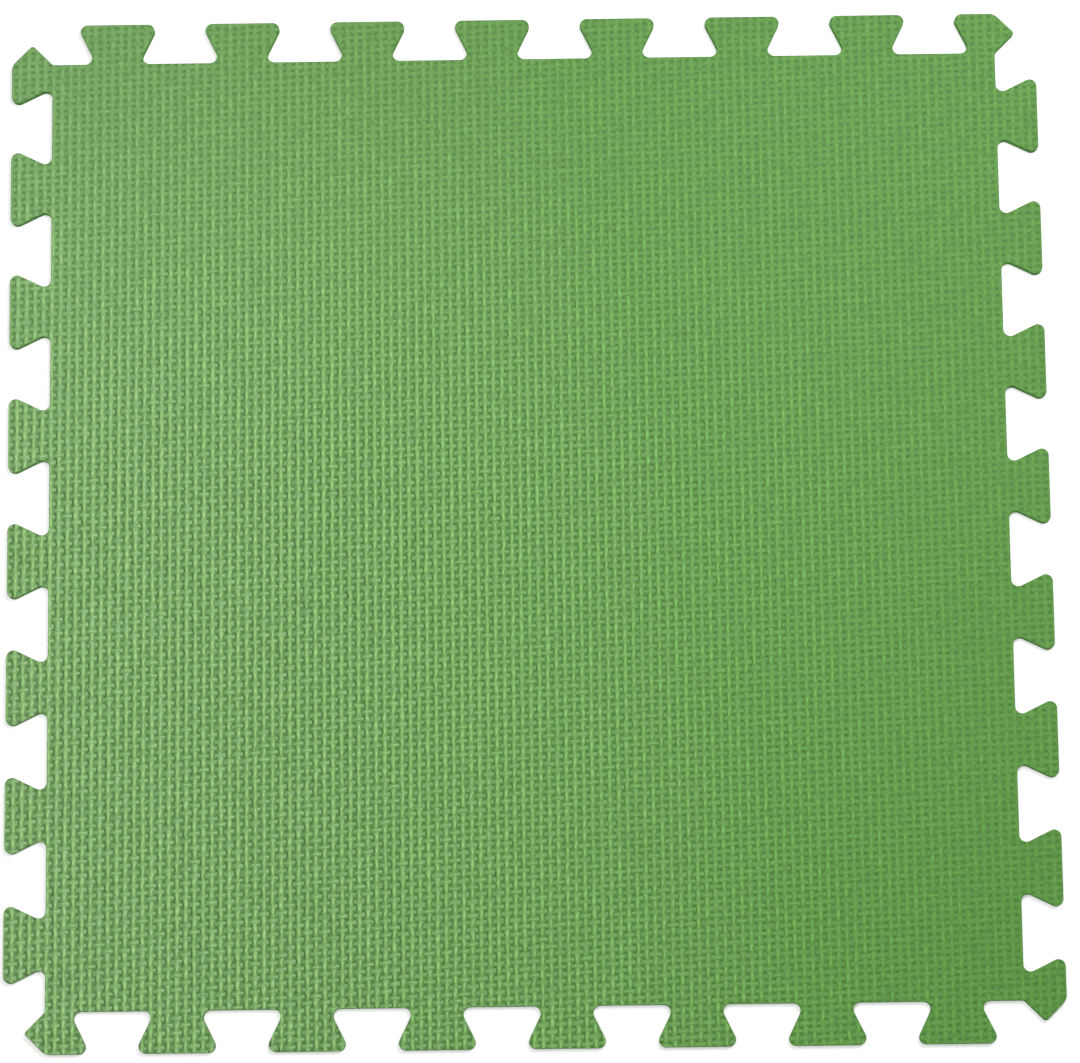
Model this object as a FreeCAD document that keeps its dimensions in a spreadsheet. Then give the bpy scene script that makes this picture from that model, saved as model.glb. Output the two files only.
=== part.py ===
import FreeCAD, Part

import math
import os

import Sketcher

# Driving dimensions, in millimetres and degrees.
SIZES = {
    # Distance at which laid tiles repeat: the square body, one tab length and the joint gap
    "module_size": 500.0,
    "thickness": 4.0,
    # How far a tab stands out from the edge of the square body
    "tab_length": 20.7,
    # Centre to centre of neighbouring tabs along one side
    "tab_pitch": 63.6,
    # Lean of a tab's flanks away from the line that runs straight out of the body
    "flank_angle": 26.0,
    # Gap left between a tab and the neighbouring tile's socket
    "joint_gap": 0.1,
    # Upright corners of the tabs and of the sockets between them
    "corner_radius": 3.5,
    # The blunt bend beside the point of each corner tab
    "bend_radius": 6.0,
    # Upright corners of the points where four laid tiles meet, and of the notches behind them
    "point_radius": 1.5,
    # Bevel that the cutting die leaves along the upper edge of the outline
    "edge_bevel": 0.4,
    # How deep a tab is rooted in the body, so that both are one piece of foam
    "tab_root": 2.0,
}

SIDES = 4
FULL_TURN = 360.0
SAME_PLACE = 0.01
# Least share of a pitch that a side keeps beyond its whole tabs, for its corner tab
CORNER_TAB_SHARE = 0.35

# Formulas for the sizes that follow from the driving ones
BODY_SIZE = "(Sizes.module_size - Sizes.tab_length - Sizes.joint_gap)"
TAB_COUNT = f"floor({BODY_SIZE} / Sizes.tab_pitch - {CORNER_TAB_SHARE})"
FLANK_SLOPE = "tan(Sizes.flank_angle * 1 deg)"
TIP_WIDTH = f"(Sizes.tab_pitch / 2 - Sizes.joint_gap + Sizes.tab_length * {FLANK_SLOPE})"
ROOT_LEVEL = f"{BODY_SIZE} / 2 - Sizes.tab_root"
TIP_LEVEL = f"{BODY_SIZE} / 2 + Sizes.tab_length"
FIRST_TAB_OFFSET = f"({TAB_COUNT} - 0.5) * Sizes.tab_pitch / 2"
CORNER_TAB_OFFSET = f"({TAB_COUNT} + 0.5) * Sizes.tab_pitch / 2"
CORNER_TAB_INNER_TIP = f"{CORNER_TAB_OFFSET} - {TIP_WIDTH} / 2"

# The tile's centre, as a point of every drawing
CENTRE = (-1, 1)


def fill_sheet(document):
    """Keeps every driving dimension in a table, one row each, under its own name."""
    sheet = document.addObject("Spreadsheet::Sheet", "Sizes")
    for row, (name, value) in enumerate(SIZES.items(), start=1):
        sheet.set(f"A{row}", name.replace("_", " "))
        sheet.set(f"B{row}", str(value))
        sheet.setAlias(f"B{row}", name)
    document.recompute()
    return sheet


def value_of(owner, formula):
    """The present value of a formula of the driving dimensions."""
    result = owner.evalExpression(formula)
    return float(getattr(result, "Value", result))


def start_of(line):
    """The first end of a drawn line."""
    return line, 1


def end_of(line):
    """The second end of a drawn line."""
    return line, 2


class Drawing:
    """An outline on the plane of the tile's underside, drawn with lines, ties and sizes."""

    def __init__(self, body, name):
        plane = next(f for f in body.Origin.OriginFeatures if f.Role == "XY_Plane")
        self.sketch = body.newObject("Sketcher::SketchObject", name)
        self.sketch.AttachmentSupport = [(plane, "")]
        self.sketch.MapMode = "FlatFace"

    def closed_outline(self, points):
        """Draws straight lines through the points and back to the first one."""
        corners = [FreeCAD.Vector(x, y, 0) for x, y in points]
        lines = [
            self.sketch.addGeometry(Part.LineSegment(start, end), False)
            for start, end in zip(corners, corners[1:] + corners[:1])
        ]
        for line, following in zip(lines, lines[1:] + lines[:1]):
            self.tie("Coincident", *end_of(line), *start_of(following))
        return lines

    def construction_line(self, start, end):
        """Draws a line that guides the others and is no part of the outline."""
        segment = Part.LineSegment(FreeCAD.Vector(*start, 0), FreeCAD.Vector(*end, 0))
        return self.sketch.addGeometry(segment, True)

    def tie(self, kind, *places):
        """Adds a rule that holds without a size."""
        return self.sketch.addConstraint(Sketcher.Constraint(kind, *places))

    def dimension(self, name, kind, places, formula):
        """Adds a named size that follows a formula of the driving dimensions."""
        value = value_of(self.sketch, formula)
        if kind == "Angle":
            value = math.radians(value)
        index = self.sketch.addConstraint(Sketcher.Constraint(kind, *places, value))
        self.sketch.renameConstraint(index, name)
        self.sketch.setExpression(f"Constraints.{name}", formula)


def pad(body, name, sketch):
    """A piece of foam as thick as the tile, with the drawn outline."""
    feature = body.newObject("PartDesign::Pad", name)
    feature.Profile = sketch
    feature.setExpression("Length", "Sizes.thickness")
    feature.Refine = True
    body.Document.recompute()
    return feature


def draw_body_square(body):
    """The square field of the tile, centred on the origin."""
    drawing = Drawing(body, "body_square")
    half = value_of(drawing.sketch, BODY_SIZE) / 2
    bottom, right, top, left = drawing.closed_outline(
        [(-half, -half), (half, -half), (half, half), (-half, half)]
    )
    for line in (bottom, top):
        drawing.tie("Horizontal", line)
    for line in (right, left):
        drawing.tie("Vertical", line)
    drawing.tie("Equal", bottom, right)
    drawing.tie("Symmetric", *start_of(bottom), *start_of(top), *CENTRE)
    drawing.dimension(
        "body_size", "DistanceX", (*start_of(bottom), *end_of(bottom)), BODY_SIZE
    )
    return drawing.sketch


def draw_side_tab(body):
    """The first whole tab of the +Y side: a dovetail that widens outwards from its root."""
    drawing = Drawing(body, "side_tab_outline")
    sketch = drawing.sketch
    centre = -value_of(sketch, FIRST_TAB_OFFSET)
    root_level = value_of(sketch, ROOT_LEVEL)
    tip_level = value_of(sketch, TIP_LEVEL)
    half_tip = value_of(sketch, TIP_WIDTH) / 2
    half_root = half_tip - (tip_level - root_level) * value_of(sketch, FLANK_SLOPE)
    root, right_flank, tip, left_flank = drawing.closed_outline(
        [
            (centre - half_root, root_level),
            (centre + half_root, root_level),
            (centre + half_tip, tip_level),
            (centre - half_tip, tip_level),
        ]
    )
    middle = drawing.construction_line((centre, root_level), (centre, tip_level))
    drawing.tie("Horizontal", root)
    drawing.tie("Horizontal", tip)
    drawing.tie("Vertical", middle)
    drawing.tie("Symmetric", *start_of(root), *end_of(root), *start_of(middle))
    drawing.tie("Symmetric", *start_of(tip), *end_of(tip), *end_of(middle))
    drawing.dimension("tip_width", "DistanceX", (*end_of(tip), *start_of(tip)), TIP_WIDTH)
    drawing.dimension("lean", "Angle", (right_flank,), "90 deg - Sizes.flank_angle * 1 deg")
    drawing.dimension("root_level", "DistanceY", (*CENTRE, *start_of(root)), ROOT_LEVEL)
    drawing.dimension("tip_level", "DistanceY", (*CENTRE, *start_of(tip)), TIP_LEVEL)
    drawing.dimension(
        "first_tab_offset", "DistanceX", (*start_of(middle), *CENTRE), FIRST_TAB_OFFSET
    )
    return sketch


def draw_corner_tab(body):
    """The last tab of the +Y side: half a dovetail, cut to a point where four laid tiles meet."""
    drawing = Drawing(body, "corner_tab_outline")
    sketch = drawing.sketch
    half_body = value_of(sketch, BODY_SIZE) / 2
    root_level = value_of(sketch, ROOT_LEVEL)
    tip_level = value_of(sketch, TIP_LEVEL)
    inner_tip = value_of(sketch, CORNER_TAB_INNER_TIP)
    inner_root = inner_tip + (tip_level - root_level) * value_of(sketch, FLANK_SLOPE)
    point = (half_body + tip_level) / 2
    inner_flank, tip, outer_slope, inner_slope, root = drawing.closed_outline(
        [
            (inner_root, root_level),
            (inner_tip, tip_level),
            (half_body, tip_level),
            (point, point),
            (root_level, root_level),
        ]
    )
    drawing.tie("Horizontal", tip)
    drawing.tie("Horizontal", root)
    drawing.tie("PointOnObject", *CENTRE, inner_slope)
    drawing.tie("Perpendicular", outer_slope, inner_slope)
    drawing.dimension("slope", "Angle", (outer_slope,), "-45 deg")
    drawing.dimension("lean", "Angle", (inner_flank,), "90 deg + Sizes.flank_angle * 1 deg")
    drawing.dimension("body_edge", "DistanceX", (*CENTRE, *end_of(tip)), f"{BODY_SIZE} / 2")
    drawing.dimension("tip_level", "DistanceY", (*CENTRE, *end_of(tip)), TIP_LEVEL)
    drawing.dimension("root_level", "DistanceY", (*CENTRE, *start_of(root)), ROOT_LEVEL)
    drawing.dimension(
        "inner_tip", "DistanceX", (*CENTRE, *start_of(tip)), CORNER_TAB_INNER_TIP
    )
    return sketch


def along_side(document, sketch):
    """Repeats a tab along its own side."""
    row = document.addObject("PartDesign::LinearPattern", "tabs_along_side")
    row.Direction = (sketch, ["H_Axis"])
    row.setExpression("Length", f"({TAB_COUNT} - 1) * Sizes.tab_pitch")
    row.setExpression("Occurrences", TAB_COUNT)
    return row


def round_the_tile(document, sketch, name):
    """Repeats what is on one side on the other three."""
    turn = document.addObject("PartDesign::PolarPattern", name)
    turn.Axis = (sketch, ["N_Axis"])
    turn.Angle = FULL_TURN
    turn.Occurrences = SIDES
    return turn


def add_side_tabs(body):
    """Every whole tab: one row, turned onto all four sides."""
    document = body.Document
    sketch = draw_side_tab(body)
    first_tab = pad(body, "side_tab", sketch)
    tabs = document.addObject("PartDesign::MultiTransform", "side_tabs")
    tabs.Originals = [first_tab]
    body.addObject(tabs)
    steps = [
        along_side(document, sketch),
        round_the_tile(document, sketch, "rows_round_tile"),
    ]
    for step in steps:
        body.addObject(step)
    tabs.Transformations = steps
    tabs.Refine = True
    body.Tip = tabs
    document.recompute()
    return tabs


def add_corner_tabs(body):
    """The four pointed tabs, one at the same end of every side, like a pinwheel."""
    sketch = draw_corner_tab(body)
    first_tab = pad(body, "corner_tab", sketch)
    tabs = round_the_tile(body.Document, sketch, "corner_tabs")
    body.addObject(tabs)
    tabs.Originals = [first_tab]
    tabs.Refine = True
    body.Tip = tabs
    body.Document.recompute()
    return tabs


def upright_edges(shape):
    """The edges that run straight through the tile's thickness: each one's name and place."""
    found = {}
    for number, edge in enumerate(shape.Edges, start=1):
        box = edge.BoundBox
        if max(box.XLength, box.YLength) < SAME_PLACE < box.ZLength:
            found[f"Edge{number}"] = box.Center
    return found


def upper_edges(shape, height):
    """The names of the edges round the upper face."""
    return [
        f"Edge{number}"
        for number, edge in enumerate(shape.Edges, start=1)
        if edge.BoundBox.ZMin > height - SAME_PLACE
    ]


def on_diagonal(place):
    """Whether a corner is a point where four laid tiles meet, or the notch behind one."""
    return abs(abs(place.x) - abs(place.y)) < SAME_PLACE


def on_bend(place, half_body, tip_level):
    """Whether a corner is where a corner tab's end turns towards its point."""
    near, far = sorted((abs(place.x), abs(place.y)))
    return abs(near - half_body) < SAME_PLACE and abs(far - tip_level) < SAME_PLACE


def dress_edges(body, kind, name, base, edges, size):
    """Rounds or bevels the named edges by one of the driving dimensions."""
    feature = body.newObject(f"PartDesign::{kind}", name)
    feature.Base = (base, edges)
    feature.setExpression("Radius" if kind == "Fillet" else "Size", f"Sizes.{size}")
    body.Document.recompute()
    return feature


def round_upright_corners(body, base):
    """Rounds the tabs and sockets, the points and notches, and the blunt bends."""
    half_body = value_of(body, f"{BODY_SIZE} / 2")
    tip_level = value_of(body, TIP_LEVEL)
    corners = list(upright_edges(base.Shape).values())
    points = [place for place in corners if on_diagonal(place)]
    bends = [place for place in corners if on_bend(place, half_body, tip_level)]
    others = [place for place in corners if place not in points and place not in bends]
    rounded = base
    for name, places, radius in (
        ("tab_corners", others, "corner_radius"),
        ("point_corners", points, "point_radius"),
        ("bend_corners", bends, "bend_radius"),
    ):
        edges = [
            edge
            for edge, found in upright_edges(rounded.Shape).items()
            if any(found.distanceToPoint(place) < SAME_PLACE for place in places)
        ]
        rounded = dress_edges(body, "Fillet", name, rounded, edges, radius)
    return rounded


def bevel_upper_edge(body, base):
    """Takes the sharp edge off the upper face, all the way round the outline."""
    edges = upper_edges(base.Shape, value_of(body, "Sizes.thickness"))
    return dress_edges(body, "Chamfer", "die_cut_edge", base, edges, "edge_bevel")


def make_floor_tile(document):
    """The whole tile, cut from one sheet of foam."""
    body = document.addObject("PartDesign::Body", "floor_tile")
    body.Label = "floor_tile"
    pad(body, "square_field", draw_body_square(body))
    add_side_tabs(body)
    tabs = add_corner_tabs(body)
    body.Tip = bevel_upper_edge(body, round_upright_corners(body, tabs))
    return body


def check_features(document):
    """Stops if a feature failed to build."""
    for thing in document.Objects:
        if {"Invalid", "Error"} & set(thing.State):
            raise RuntimeError(f"{thing.Label} did not build: {thing.State}")


def write_part(piece):
    """Writes a finished piece under its own name."""
    shape = piece.Shape
    if shape.isNull() or not shape.isValid() or len(shape.Solids) != 1:
        raise RuntimeError(f"{piece.Label} is not one sound solid")
    shape.exportStep(os.path.join("parts", f"{piece.Label}.step"))
    box = shape.BoundBox
    size = " x ".join(f"{length:.2f}" for length in (box.XLength, box.YLength, box.ZLength))
    print(f"{piece.Label}: {size} mm, {shape.Volume / 1000:.1f} cm3, {len(shape.Faces)} faces")


def main():
    os.makedirs("parts", exist_ok=True)
    document = FreeCAD.newDocument("PoolFloorTile")
    fill_sheet(document)
    pieces = [make_floor_tile(document)]
    document.recompute()
    check_features(document)
    for piece in pieces:
        write_part(piece)


main()
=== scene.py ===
import math

import bmesh
import bpy
from mathutils import Euler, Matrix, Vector, noise


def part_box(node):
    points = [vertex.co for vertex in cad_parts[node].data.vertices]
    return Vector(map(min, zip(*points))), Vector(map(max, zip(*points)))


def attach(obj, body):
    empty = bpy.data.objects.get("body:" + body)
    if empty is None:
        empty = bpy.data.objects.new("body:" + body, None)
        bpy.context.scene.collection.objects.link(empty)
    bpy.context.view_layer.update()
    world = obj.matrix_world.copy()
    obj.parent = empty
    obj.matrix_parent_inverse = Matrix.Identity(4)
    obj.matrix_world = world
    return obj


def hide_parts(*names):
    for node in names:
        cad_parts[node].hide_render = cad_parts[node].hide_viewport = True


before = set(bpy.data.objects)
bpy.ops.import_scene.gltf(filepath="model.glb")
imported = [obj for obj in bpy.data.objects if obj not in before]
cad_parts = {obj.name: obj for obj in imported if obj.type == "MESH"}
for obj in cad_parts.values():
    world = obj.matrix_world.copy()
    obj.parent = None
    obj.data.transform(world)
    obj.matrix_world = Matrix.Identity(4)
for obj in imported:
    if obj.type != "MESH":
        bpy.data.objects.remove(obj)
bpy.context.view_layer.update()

MM = 0.001

# The sheet, as the frame gives it: the tile is cut from one sheet of foam
TILE_LOW, TILE_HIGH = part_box("floor_tile")
SHEET_TOP = TILE_HIGH.z
TILE_SPAN = TILE_HIGH.x - TILE_LOW.x

# The woven relief pressed into the upper face: ribs run along Y and picks cross them
RIB_PITCH = 4.27 * MM
PICK_PITCH = 3.46 * MM
PICK_RISE = math.tan(math.radians(2.7))
RIB_RIDGE = 1.5 * MM          # half the level crown of a rib where it lies on top
PICK_RIDGE = 1.1 * MM         # half the level crown of a pick where it lies on top
RIB_HALF_WIDTH = 1.15 * MM
PICK_HALF_WIDTH = 1.0 * MM
CROWN_CLEARANCE = 0.01 * MM
RELIEF_DEPTH = 1.0 * MM

# Heights in the relief, as shares of its depth below the crowns
RIB_CROWN = 0.0
PICK_CROWN = 0.08
RIB_DIVES = 0.35              # where a rib goes down under a pick
PICK_DIVES = 0.60             # where a pick goes down under a rib
PIT = 1.0

# The press bites deepest at low X and low Y and only lightly beyond these lines
LIGHT_PRESS = 0.43
X_FADES = (-100 * MM, 240 * MM)
Y_FADES = (20 * MM, 260 * MM)

# Unevenness of the cloth that the roller was made from: how much strays, and over what length
THREAD_STRAY = 0.22 * MM      # a whole thread, sideways
STRAY_LENGTH = 16 * MM
PLACE_STRAY = 0.30 * MM       # a single crossing
PLACE_STRAY_LENGTH = 1.9 * MM
CROWN_STRAY = 0.10            # the height of a crown, as a share of the relief's depth
CROWN_STRAY_LENGTH = 2.3 * MM

# Unevenness that only the fine relief shows: how much, and its grain across and along per thread pitch
THREAD_WANDER = 0.10          # in thread pitches
WANDER_GRAIN = (1.3, 1.1)
WANDER_SEED = 5               # noise_vector starts from the clock unless it is seeded
RIB_SWELL = 0.50
RIB_SWELL_GRAIN = (1.85, 0.6)
PICK_SWELL = 0.55
PICK_SWELL_GRAIN = (0.8, 1.85)

# Each kind of unevenness reads its own layer of the noise, and each thread its own line in it
RIB_LAYER, PICK_LAYER = 1.5, 8.5
PLACE_X_LAYER, PLACE_Y_LAYER = 21.5, 33.5
WANDER_LAYER, RIB_SWELL_LAYER, PICK_SWELL_LAYER = 41.5, 51.5, 63.5
THREAD_STEP = 3.7

# How far from a thread's middle line, in half pitches, a vertex still belongs to the thread
ON_THREAD = 0.75

# The slab that carries the weave, before it is cut to the tile's outline
SLAB_MARGIN = 4 * MM
SLAB_FLOOR = -1 * MM

# What the mesh tells the upper skin's material about each corner
THREAD_PLACE = "thread_place"
THREAD_SWELL = "thread_swell"


def lattice_parity(rib, pick):
    """True where the rib lies on top of the pick."""
    return (rib + pick) % 2 == 0


def faded(value, start, end):
    """1 up to the start, and from there down to 0 at the end."""
    return min(max((end - value) / (end - start), 0), 1)


def press_share(x, y):
    """How deep the press bites at a place, from 0 to 1."""
    return LIGHT_PRESS + (1 - LIGHT_PRESS) * faded(x, *X_FADES) * faded(y, *Y_FADES)


def relief_point(across, along):
    """The place and the level of one grid vertex.

    across and along count half pitches, so even numbers are the middle lines of ribs and picks, and a
    half number is the second end of a crown.
    """
    rib, pick = round(across / 2), round(along / 2)
    on_rib = abs(across - 2 * rib) < ON_THREAD
    on_pick = abs(along - 2 * pick) < ON_THREAD
    x, y = across * RIB_PITCH / 2, along * PICK_PITCH / 2
    level = PIT
    if on_rib and on_pick:
        x, y = rib * RIB_PITCH, pick * PICK_PITCH
        if lattice_parity(rib, pick):
            y += RIB_RIDGE if along > 2 * pick else -RIB_RIDGE
            level = RIB_CROWN
        else:
            x += PICK_RIDGE if across > 2 * rib else -PICK_RIDGE
            level = PICK_CROWN
    elif on_rib:
        below = (round(along) - 1) // 2
        upper_is_pick = lattice_parity(rib, below)
        pick_line = (below + 1 if upper_is_pick else below) * PICK_PITCH
        y = pick_line + (-PICK_HALF_WIDTH if upper_is_pick else PICK_HALF_WIDTH)
        level = RIB_DIVES
    elif on_pick:
        left = (round(across) - 1) // 2
        left_is_rib = lattice_parity(left, pick)
        rib_line = (left if left_is_rib else left + 1) * RIB_PITCH
        x = rib_line + (RIB_HALF_WIDTH if left_is_rib else -RIB_HALF_WIDTH)
        level = PICK_DIVES
    return x, y, level


def stray(x, y, spread, length, layer):
    """A smooth offset of one of the two coordinates, irregular but the same in every run."""
    return spread * noise.noise(Vector((x / length, y / length, layer)))


def swell(across, along, spread, grain, layer):
    """How much thicker or thinner than usual a thread is at a place counted in threads."""
    return 1 + spread * noise.noise(Vector((across * grain[0], along * grain[1], layer)))


def place_vertex(vertex, thread_place, thread_swell):
    """Moves a vertex from its place in the lattice to its place on the pressed face.

    It keeps its place in threads and how much each thread swells there, for the fine relief.
    """
    x, y, level = relief_point(vertex.co.x, vertex.co.y)
    across, along = x / RIB_PITCH, y / PICK_PITCH
    wander_at = Vector((across * WANDER_GRAIN[0], along * WANDER_GRAIN[1], WANDER_LAYER))
    wander = THREAD_WANDER * noise.noise_vector(wander_at)
    vertex[thread_place] = (across + wander.x, along + wander.y, press_share(x, y))
    rib_swell = swell(across, along, RIB_SWELL, RIB_SWELL_GRAIN, RIB_SWELL_LAYER)
    pick_swell = swell(across, along, PICK_SWELL, PICK_SWELL_GRAIN, PICK_SWELL_LAYER)
    vertex[thread_swell] = (rib_swell, pick_swell, 0)
    y += x * PICK_RISE
    rib_line = round(vertex.co.x) * THREAD_STEP
    pick_line = round(vertex.co.y) * THREAD_STEP
    level += CROWN_STRAY * noise.noise(Vector((x, y, 0)) / CROWN_STRAY_LENGTH)
    x += THREAD_STRAY * noise.noise(Vector((rib_line, y / STRAY_LENGTH, RIB_LAYER)))
    y += THREAD_STRAY * noise.noise(Vector((x / STRAY_LENGTH, pick_line, PICK_LAYER)))
    x += stray(x, y, PLACE_STRAY, PLACE_STRAY_LENGTH, PLACE_X_LAYER)
    y += stray(x, y, PLACE_STRAY, PLACE_STRAY_LENGTH, PLACE_Y_LAYER)
    depth = max(level, 0) * RELIEF_DEPTH * press_share(x, y)
    vertex.co = (x, y, SHEET_TOP - CROWN_CLEARANCE - depth)


def second_crown_ends(bm):
    """The edges that get one more vertex, so that each crown is a line and not a point."""
    edges = []
    for edge in bm.edges:
        first, second = sorted((tuple(v.co) for v in edge.verts))
        across, along = round(first[0]), round(first[1])
        if across % 2 or along % 2:
            continue
        runs_along = round(second[0]) == across
        if runs_along == lattice_parity(across // 2, along // 2):
            edges.append(edge)
    return edges


def relief_slab():
    """A closed slab larger than the tile, with the weave on its upper side.

    Its grid starts with one vertex at each half pitch, so each thread has two steps across it.
    """
    noise.seed_set(WANDER_SEED)
    half_ribs = math.ceil((TILE_SPAN / 2 + SLAB_MARGIN) / RIB_PITCH)
    half_picks = math.ceil((TILE_SPAN / 2 * (1 + PICK_RISE) + SLAB_MARGIN) / PICK_PITCH)
    bm = bmesh.new()
    bmesh.ops.create_grid(bm, x_segments=4 * half_ribs, y_segments=4 * half_picks, size=1.0)
    bmesh.ops.scale(bm, vec=(2 * half_ribs, 2 * half_picks, 1), verts=bm.verts)
    for vertex in bm.verts:
        vertex.co = (round(vertex.co.x), round(vertex.co.y), 0)
    bmesh.ops.subdivide_edges(bm, edges=second_crown_ends(bm), cuts=1, use_single_edge=True)
    kept = [bm.verts.layers.float_vector.new(name) for name in ("place", "swell")]
    for vertex in bm.verts:
        place_vertex(vertex, *kept)
    bmesh.ops.triangulate(bm, faces=bm.faces, quad_method="SHORT_EDGE")
    shown = [bm.loops.layers.float_vector.new(name) for name in (THREAD_PLACE, THREAD_SWELL)]
    for corner in (corner for face in bm.faces for corner in face.loops):
        for from_layer, to_layer in zip(kept, shown):
            corner[to_layer] = corner.vert[from_layer]
    rim = [edge for edge in bm.edges if edge.is_boundary]
    skirt = bmesh.ops.extrude_edge_only(bm, edges=rim)["geom"]
    for vertex in skirt:
        if isinstance(vertex, bmesh.types.BMVert):
            vertex.co.z = SLAB_FLOOR
    bmesh.ops.holes_fill(bm, edges=[edge for edge in bm.edges if edge.is_boundary])
    bmesh.ops.recalc_face_normals(bm, faces=bm.faces)
    mesh = bpy.data.meshes.new("relief_slab")
    bm.to_mesh(mesh)
    bm.free()
    return bpy.data.objects.new("relief_slab", mesh)


# Material slots: the slab's faces keep the first, the woven skin, and the blank's faces get these
CUT, UNDER = 1, 2
LEVEL_FACE = 0.9              # a face is level where the upright part of its normal is more than this
MERGE_DISTANCE = 0.001 * MM


def die_cut_blank():
    """A copy of the plain tile, closed and with its faces sorted into cut edge and underside."""
    bm = bmesh.new()
    bm.from_mesh(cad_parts["floor_tile"].data)
    bmesh.ops.transform(bm, matrix=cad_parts["floor_tile"].matrix_world, verts=bm.verts)
    bmesh.ops.remove_doubles(bm, verts=bm.verts, dist=MERGE_DISTANCE)
    for face in bm.faces:
        face.material_index = UNDER if face.normal.z < -LEVEL_FACE else CUT
    mesh = bpy.data.meshes.new("die_cut_blank")
    bm.to_mesh(mesh)
    bm.free()
    return bpy.data.objects.new("die_cut_blank", mesh)


def shade(mesh):
    """Rounds the weave and the cut edge, and keeps the line between them crisp."""
    bm = bmesh.new()
    bm.from_mesh(mesh)
    for face in bm.faces:
        face.smooth = True
    for edge in bm.edges:
        edge.smooth = len({face.material_index for face in edge.link_faces}) == 1
    bm.to_mesh(mesh)
    bm.free()


def make_tile(materials):
    """The tile: the woven slab cut to the outline of the plain tile."""
    slab = relief_slab()
    blank = die_cut_blank()
    for thing in (slab, blank):
        bpy.context.collection.objects.link(thing)
        for material in materials:
            thing.data.materials.append(material)
    cut = slab.modifiers.new("die_cut", "BOOLEAN")
    cut.operation = "INTERSECT"
    cut.solver = "MANIFOLD"
    cut.object = blank
    bpy.context.view_layer.update()
    graph = bpy.context.evaluated_depsgraph_get()
    mesh = bpy.data.meshes.new_from_object(slab.evaluated_get(graph))
    mesh.name = "woven_foam_tile"
    tile = bpy.data.objects.new("woven_foam_tile", mesh)
    bpy.context.collection.objects.link(tile)
    bpy.data.objects.remove(slab)
    bpy.data.objects.remove(blank)
    shade(mesh)
    return tile


class Finish:
    """A node tree in the making: most calls add a node and return what comes out of it."""

    def __init__(self, owner):
        owner.use_nodes = True
        self.owner = owner
        self.nodes = owner.node_tree.nodes
        self.links = owner.node_tree.links
        self.surface = self.nodes.get("Principled BSDF")

    def feed(self, socket, value):
        """Links another node's output to a socket, or sets the socket to a plain value."""
        if isinstance(value, bpy.types.NodeSocket):
            self.links.new(value, socket)
        else:
            socket.default_value = value

    def calc(self, operation, *values, clamp=False):
        """One step of arithmetic."""
        node = self.nodes.new("ShaderNodeMath")
        node.operation = operation
        node.use_clamp = clamp
        for socket, value in zip(node.inputs, values):
            self.feed(socket, value)
        return node.outputs["Value"]

    def stretch(self, value, low, high, to_low=0.0, to_high=1.0, kind="SMOOTHSTEP"):
        """Carries a value from one range to another and holds it at both ends."""
        node = self.nodes.new("ShaderNodeMapRange")
        node.interpolation_type = kind
        self.feed(node.inputs["Value"], value)
        self.feed(node.inputs["From Min"], low)
        self.feed(node.inputs["From Max"], high)
        self.feed(node.inputs["To Min"], to_low)
        self.feed(node.inputs["To Max"], to_high)
        return node.outputs["Result"]

    def between(self, share, pair):
        """Goes evenly from the first number of a pair to the second as the share goes from 0 to 1."""
        return self.stretch(share, 0.0, 1.0, *pair, "LINEAR")

    def place(self):
        """Where a point lies on the object, in metres."""
        return self.nodes.new("ShaderNodeTexCoord").outputs["Object"]

    def attribute(self, name):
        """A vector that the mesh carries."""
        node = self.nodes.new("ShaderNodeAttribute")
        node.attribute_name = name
        return node.outputs["Vector"]

    def split(self, vector):
        """The three parts of a vector."""
        node = self.nodes.new("ShaderNodeSeparateXYZ")
        self.feed(node.inputs["Vector"], vector)
        return node.outputs["X"], node.outputs["Y"], node.outputs["Z"]

    def cloud(self, vector, scale, detail=2.0):
        """Smooth noise about 0.5."""
        node = self.nodes.new("ShaderNodeTexNoise")
        self.feed(node.inputs["Vector"], vector)
        self.feed(node.inputs["Scale"], scale)
        self.feed(node.inputs["Detail"], detail)
        return node.outputs["Fac"]

    def cells(self, vector, scale):
        """The distance to the middle of the nearest foam cell, from 0 in the middle."""
        node = self.nodes.new("ShaderNodeTexVoronoi")
        self.feed(node.inputs["Vector"], vector)
        self.feed(node.inputs["Scale"], scale)
        return node.outputs["Distance"]

    def seen_directly(self):
        """1 for what the camera sees, also in a mirror or through glass, and 0 for light that is cast."""
        path = self.nodes.new("ShaderNodeLightPath")
        mirrored = self.calc("MAXIMUM", path.outputs["Is Glossy Ray"], path.outputs["Is Transmission Ray"])
        return self.calc("MAXIMUM", path.outputs["Is Camera Ray"], mirrored)

    def blend(self, share, first, second, kind="MIX"):
        """A colour between two others, or with kind ADD the first plus a share of the second."""
        node = self.nodes.new("ShaderNodeMix")
        node.data_type = "RGBA"
        node.blend_type = kind
        self.feed(node.inputs["Factor"], share)
        self.feed(node.inputs["A"], first)
        self.feed(node.inputs["B"], second)
        return node.outputs["Result"]

    def bump(self, height, depth, under=None):
        """A normal bent as if the height stood out that deep, on top of another bent normal if given."""
        node = self.nodes.new("ShaderNodeBump")
        self.feed(node.inputs["Height"], height)
        self.feed(node.inputs["Distance"], depth)
        if under is not None:
            self.feed(node.inputs["Normal"], under)
        return node.outputs["Normal"]


# The back of each thread, first where the press bites lightly and then where it bites deep: half its
# width in thread pitches, how flat its top is, and how high it stands where it dives and on top.
# The wave overshoots the crossings a little at both ends.
RIB_BACK = {"foot": (0.40, 0.46), "flatness": (2.4, 1.6), "dived": (0.66, 0.72), "on_top": (1.00, 1.22)}
PICK_BACK = {"foot": (0.48, 0.50), "flatness": (2.0, 2.2), "dived": (0.56, 0.18), "on_top": (0.84, 0.76)}
WAVE_ENDS = (-1.4, 1.3)
BUMP_DEPTH = 1.25 * MM


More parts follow.
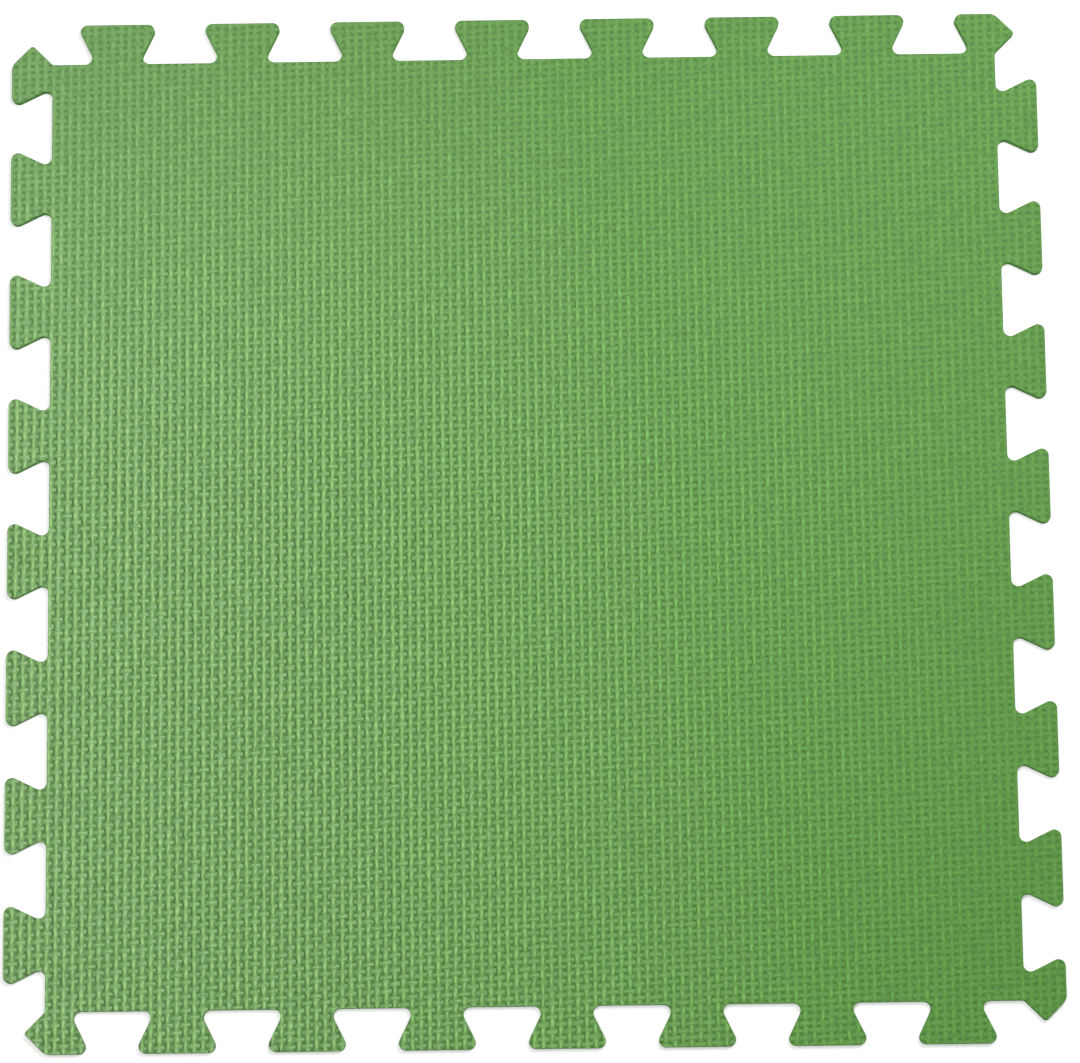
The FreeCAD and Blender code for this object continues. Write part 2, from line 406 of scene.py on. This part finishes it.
def thread_back(finish, offset, wave, press, back):
    """The rounded back of a thread that goes up and down with its wave."""
    foot, flatness, dived, on_top = (
        finish.between(press, back[name]) for name in ("foot", "flatness", "dived", "on_top"))
    share = finish.calc("DIVIDE", finish.calc("ABSOLUTE", offset), foot)
    round_back = finish.calc("SUBTRACT", 1.0, finish.calc("POWER", share, flatness), clamp=True)
    return finish.calc("MULTIPLY", round_back, finish.stretch(wave, *WAVE_ENDS, dived, on_top))


def woven_height(finish, across, along, press):
    """The height of the weave, from 0 in a pit to 1 on a crown, at a place counted in threads."""
    rib = finish.calc("ROUND", across)
    pick = finish.calc("ROUND", along)
    rib_wave = finish.calc("COSINE", finish.calc("MULTIPLY", finish.calc("ADD", along, rib), math.pi))
    pick_wave = finish.calc("COSINE", finish.calc("MULTIPLY", finish.calc("ADD", across, pick), math.pi))
    pick_wave = finish.calc("MULTIPLY", pick_wave, -1.0)
    rib_back = thread_back(finish, finish.calc("SUBTRACT", across, rib), rib_wave, press, RIB_BACK)
    pick_back = thread_back(finish, finish.calc("SUBTRACT", along, pick), pick_wave, press, PICK_BACK)
    rib_swell, pick_swell, _ = finish.split(finish.attribute(THREAD_SWELL))
    rib_back = finish.calc("MULTIPLY", rib_back, rib_swell)
    pick_back = finish.calc("MULTIPLY", pick_back, pick_swell)
    return finish.calc("MAXIMUM", rib_back, pick_back)


# The woven skin: greener on the threads and darker in the pits, partly the skin's own tone and partly
# painted shade in the pits and painted light on the crowns
PIT_GREEN_AND_SHADE = (0.058, 0.190, 0.028, 1)
CROWN_GREEN_AND_LIGHT = (0.134, 0.376, 0.059, 1)
# A painted highlight, added to the colour along the crests
PAINTED_CREST_HIGHLIGHT = (0.060, 0.090, 0.032, 1)    # added along the highest lines of deeply pressed threads
HIGHLIGHT_RISES = (0.80, 1.20)                # heights of the weave between which it sets in
TONE_SPREAD = 1.25
MIDDLE_TONE = (0.37, 0.58)                # at light and at deep press
MIDDLE_HEIGHT = 0.6                       # the height of the weave that has the middle tone
MOTTLE = 0.20
MOTTLE_SIZE = 1.6 * MM
MOTTLE_DETAIL = 3.0
CLOUD_RANGE = (0.3, 0.7)                  # nearly all of a cloud lies between these
SKIN_ROUGHNESS = (0.75, 0.34)             # at light and at deep press
SKIN_SPECULAR = 0.40

# A painted sheen: pale white added to the skin's colour, strongest at low X, on the crowns and a little
# towards high Y
PAINTED_SHEEN = (0.111, 0.118, 0.097, 1)
SHEEN_FADES = (-260 * MM, 140 * MM)
SHEEN_PRESSED = (0.65, 1.00)              # its share at light and at deep press
SHEEN_HEIGHTS = (0.2, 1.0, 0.50, 1.30)    # two heights of the weave, and its share at each
BACK_SHEEN = 0.20                         # its share at high Y, from where it fades towards low Y
BACK_SHEEN_FADES = (200 * MM, -220 * MM)


def embossed_skin():
    """The upper skin, with the rounded threads as bump and as a tone that paints shade in the pits and
    light on the crowns, with a painted highlight along the crests and a painted sheen over it.
    """
    finish = Finish(bpy.data.materials.new("embossed_skin"))
    across, along, share = finish.split(finish.attribute(THREAD_PLACE))
    press = finish.stretch(share, LIGHT_PRESS, 1.0, 0.0, 1.0, "LINEAR")
    height = woven_height(finish, across, along, press)
    place = finish.place()
    # The tone from pit to crown is partly the skin's own and partly painted shade in the pits and painted
    # light on the crowns
    rise = finish.calc("SUBTRACT", height, MIDDLE_HEIGHT)
    spread = finish.calc("MULTIPLY", share, TONE_SPREAD)
    tone = finish.calc("ADD", finish.between(press, MIDDLE_TONE), finish.calc("MULTIPLY", rise, spread))
    cloud = finish.cloud(place, 1 / MOTTLE_SIZE, MOTTLE_DETAIL)
    mottle = finish.stretch(cloud, *CLOUD_RANGE, -MOTTLE, MOTTLE, "LINEAR")
    green = finish.blend(finish.calc("ADD", tone, mottle), PIT_GREEN_AND_SHADE, CROWN_GREEN_AND_LIGHT)
    # Painted highlight: lighter green added along the crests of deeply pressed threads
    painted_highlight = finish.calc("MULTIPLY", finish.stretch(height, *HIGHLIGHT_RISES), press)
    green = finish.blend(painted_highlight, green, PAINTED_CREST_HIGHLIGHT, "ADD")
    x, y, _ = finish.split(place)
    # Painted sheen: pale white added to the colour, stronger at low X, towards high Y and on the crowns
    painted_sheen = finish.stretch(x, *SHEEN_FADES, 1.0, 0.0, "LINEAR")
    painted_sheen = finish.calc("MULTIPLY", painted_sheen, finish.between(press, SHEEN_PRESSED))
    painted_sheen = finish.calc("MAXIMUM", painted_sheen, finish.stretch(y, *BACK_SHEEN_FADES, BACK_SHEEN, 0.0, "LINEAR"))
    painted_sheen = finish.calc("MULTIPLY", painted_sheen, finish.stretch(height, *SHEEN_HEIGHTS, "LINEAR"))
    finish.feed(finish.surface.inputs["Base Color"], finish.blend(painted_sheen, green, PAINTED_SHEEN, "ADD"))
    finish.feed(finish.surface.inputs["Roughness"], finish.between(press, SKIN_ROUGHNESS))
    finish.surface.inputs["Specular IOR Level"].default_value = SKIN_SPECULAR
    woven = finish.bump(finish.calc("MULTIPLY", height, share), BUMP_DEPTH)
    finish.feed(finish.surface.inputs["Normal"], woven)
    return finish.owner


# The foam itself, where the die has cut it: small closed cells and a thin denser skin above and below
CELL_SIZE = 0.35 * MM
CELL_DEPTH = 0.12 * MM
CELL_DARKENS = (0.10, 0.60)           # between these distances from its middle, in cell sizes
CELL_ROUGHENS = (0.0, 0.7)
CELL_GREEN = (0.095, 0.300, 0.045, 1)
CELL_SHADE = (0.045, 0.165, 0.022, 1)
SKIN_LINE = (0.060, 0.205, 0.028, 1)
SKIN_THICKNESS = 0.25 * MM
SKIN_SOLID = 0.4                      # the share of the skin that shows no cells
SMEARED_SIZE = 9 * MM                 # stretches where the die has smeared the cells
CUT_ROUGHNESS = (0.68, 0.90)
CUT_SPECULAR = 0.35


def cut_foam():
    """The cut edge: open cells, smeared in places, between the two skins."""
    finish = Finish(bpy.data.materials.new("cut_foam"))
    place = finish.place()
    _, _, z = finish.split(place)
    cells = finish.cells(place, 1 / CELL_SIZE)
    foam = finish.blend(finish.stretch(cells, *CELL_DARKENS), CELL_GREEN, CELL_SHADE)
    smeared = finish.blend(finish.cloud(place, 1 / SMEARED_SIZE), foam, CELL_GREEN)
    from_skin = finish.calc("MINIMUM", z, finish.calc("SUBTRACT", SHEET_TOP, z))
    skin = finish.stretch(from_skin, SKIN_SOLID * SKIN_THICKNESS, SKIN_THICKNESS, 1.0, 0.0)
    roughness = finish.stretch(cells, *CELL_ROUGHENS, *CUT_ROUGHNESS, "LINEAR")
    finish.feed(finish.surface.inputs["Base Color"], finish.blend(skin, smeared, SKIN_LINE))
    finish.feed(finish.surface.inputs["Roughness"], roughness)
    finish.surface.inputs["Specular IOR Level"].default_value = CUT_SPECULAR
    hollows = finish.bump(finish.calc("SUBTRACT", 1.0, cells), CELL_DEPTH)
    finish.feed(finish.surface.inputs["Normal"], hollows)
    return finish.owner


# The plain skin underneath: fine pores with painted shade in them, and soft patches from lying on the
# ground
PORE_SIZE = 0.6 * MM
PORE_DEPTH = 0.08 * MM
PORE_EDGE = 0.28                      # where a pore ends, in pore sizes from its middle
GRAIN_SIZE = 1.2 * MM
GRAIN_DETAIL = 3.0
GRAIN_DEPTH = 0.10 * MM
PATCH_SIZE = 45 * MM
PATCH_DETAIL = 4.0
PATCH_RANGE = (0.35, 0.65)
UNDER_GREEN = (0.110, 0.335, 0.052, 1)
UNDER_PATCH = (0.088, 0.275, 0.042, 1)
# Painted shade inside each pore
PORE_SHADE = (0.060, 0.200, 0.028, 1)
UNDER_ROUGHNESS = (0.50, 0.66)
UNDER_SPECULAR = 0.45


def underside_skin():
    """The skin underneath: pores and grain in soft patches."""
    finish = Finish(bpy.data.materials.new("underside_skin"))
    place = finish.place()
    patches = finish.stretch(finish.cloud(place, 1 / PATCH_SIZE, PATCH_DETAIL), *PATCH_RANGE)
    pores = finish.stretch(finish.cells(place, 1 / PORE_SIZE), 0.0, PORE_EDGE, 1.0, 0.0)
    skin = finish.blend(patches, UNDER_GREEN, UNDER_PATCH)
    # The pores are darkened with painted shade, as they sink into the skin
    finish.feed(finish.surface.inputs["Base Color"], finish.blend(pores, skin, PORE_SHADE))
    finish.feed(finish.surface.inputs["Roughness"], finish.between(patches, UNDER_ROUGHNESS))
    finish.surface.inputs["Specular IOR Level"].default_value = UNDER_SPECULAR
    grain = finish.cloud(place, 1 / GRAIN_SIZE, GRAIN_DETAIL)
    pored = finish.bump(pores, -PORE_DEPTH)
    finish.feed(finish.surface.inputs["Normal"], finish.bump(grain, GRAIN_DEPTH, pored))
    return finish.owner


# The studio: a white floor, soft light and the camera
FLOOR_SPAN = 12.0
FLOOR_DROP = 0.1 * MM         # keeps the floor apart from the underside that lies on it
FLOOR_GLOW = (0.4, 1.0)       # near the tile, where its shadow shows, and far from it
FLOOR_FAR = (0.7, 2.2)        # distances from the middle between which the glow rises
FLOOR_COLOUR = (0.8, 0.8, 0.8, 1)
FLOOR_ROUGHNESS = 0.9
WHITE = (1, 1, 1, 1)
WORLD_LIGHT = 0.12
SOFTBOXES = {
    "main_softbox": {"place": (0.48, 0.44, 1.25), "aim": (-0.1, 0, 0), "size": 0.8, "power": 14.0},
    "left_softbox": {"place": (-0.42, -0.12, 1.6), "aim": (-0.25, -0.1, 0), "size": 0.8, "power": 11.3},
}
CAMERA_AIM = Vector((5.5 * MM, -4.3 * MM, SHEET_TOP))
CAMERA_DISTANCE = 2.000
CAMERA_TILT = math.radians(9.52)
CAMERA_LEAN = math.radians(0.30)
CAMERA_ROLL = math.radians(-0.68)
CAMERA_LENS = 133.7
CAMERA_SENSOR = 36


def add_camera():
    """The camera where the photograph was taken from: nearly above the tile and a little in front."""
    data = bpy.data.cameras.new("camera")
    data.sensor_width = CAMERA_SENSOR
    data.lens = CAMERA_LENS
    camera = bpy.data.objects.new("camera", data)
    bpy.context.collection.objects.link(camera)
    turn = Euler((CAMERA_TILT, CAMERA_LEAN, CAMERA_ROLL))
    camera.rotation_euler = turn
    camera.location = CAMERA_AIM + turn.to_matrix() @ Vector((0, 0, CAMERA_DISTANCE))
    bpy.context.scene.camera = camera


def add_softbox(name, place, aim, size, power):
    """A square soft lamp at a place, turned towards its aim."""
    data = bpy.data.lights.new(name, "AREA")
    data.shape = "SQUARE"
    data.size = size
    data.energy = power
    light = bpy.data.objects.new(name, data)
    bpy.context.collection.objects.link(light)
    light.location = place
    light.rotation_euler = (Vector(place) - Vector(aim)).to_track_quat("Z", "Y").to_euler()


def add_floor():
    """A wide white floor under the tile."""
    bm = bmesh.new()
    bmesh.ops.create_grid(bm, x_segments=1, y_segments=1, size=FLOOR_SPAN / 2)
    bmesh.ops.translate(bm, vec=(0, 0, TILE_LOW.z - FLOOR_DROP), verts=bm.verts)
    mesh = bpy.data.meshes.new("floor")
    bm.to_mesh(mesh)
    bm.free()
    floor = bpy.data.objects.new("floor", mesh)
    bpy.context.collection.objects.link(floor)
    finish = Finish(bpy.data.materials.new("white_floor"))
    finish.surface.inputs["Base Color"].default_value = FLOOR_COLOUR
    finish.surface.inputs["Roughness"].default_value = FLOOR_ROUGHNESS
    finish.surface.inputs["Emission Color"].default_value = WHITE
    x, y, _ = finish.split(finish.place())
    squares = finish.calc("ADD", finish.calc("MULTIPLY", x, x), finish.calc("MULTIPLY", y, y))
    glow = finish.stretch(finish.calc("SQRT", squares), *FLOOR_FAR, *FLOOR_GLOW)
    seen = finish.seen_directly()
    finish.feed(finish.surface.inputs["Emission Strength"], finish.calc("MULTIPLY", seen, glow))
    mesh.materials.append(finish.owner)


def add_world():
    """Soft light from all around, which is also the white backdrop."""
    world = bpy.data.worlds.new("studio")
    bpy.context.scene.world = world
    finish = Finish(world)
    background = finish.nodes["Background"]
    background.inputs["Color"].default_value = WHITE
    strength = finish.stretch(finish.seen_directly(), 0.0, 1.0, WORLD_LIGHT, 1.0, "LINEAR")
    finish.feed(background.inputs["Strength"], strength)


tile = make_tile([embossed_skin(), cut_foam(), underside_skin()])
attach(tile, "root")
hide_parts("floor_tile")

add_floor()
add_world()
for name, box in SOFTBOXES.items():
    add_softbox(name, **box)
add_camera()
bpy.context.scene.view_settings.view_transform = "Standard"
